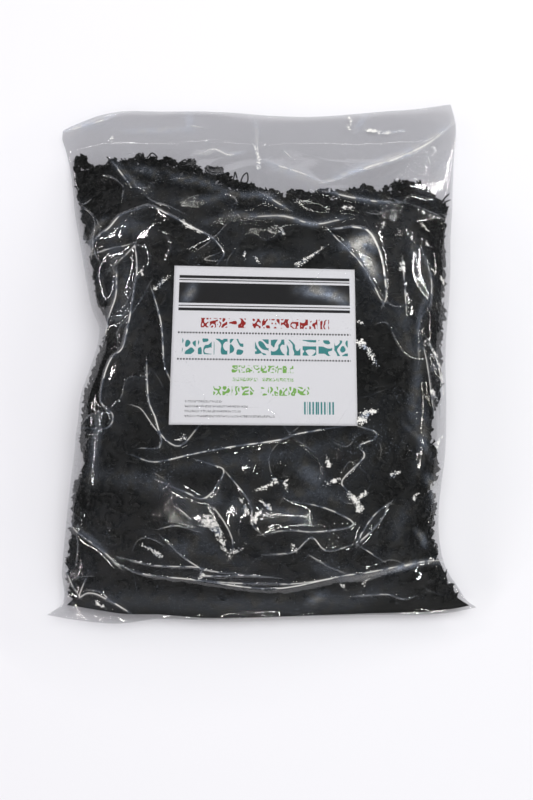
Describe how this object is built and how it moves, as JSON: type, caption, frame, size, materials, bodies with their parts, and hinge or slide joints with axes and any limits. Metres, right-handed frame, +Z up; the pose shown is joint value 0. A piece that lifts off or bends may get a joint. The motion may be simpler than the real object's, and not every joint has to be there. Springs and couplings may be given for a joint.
{
  "type": "bag of dried cut wakame",
  "caption": "Clear film bag, sealed at both ends and lying on its back, filled with a loaf of dried cut seaweed and holding a blank label card.",
  "frame": {"origin": "middle of the base, on the surface that the bag lies on", "axes": "+Z up out of the bag's face, +Y towards the bag's top seal, +X to the right seen from above"},
  "size_m": [0.321, 0.4101, 0.0755],
  "materials": {
    "clear_film": "clear and glossy",
    "dried_seaweed": "dry and crinkled, with no gloss",
    "label_card": "smooth card"
  },
  "bodies": {
    "root": {"film_bag": "clear_film", "wakame": "dried_seaweed", "label_card": "label_card"}
  },
  "joints": []
}
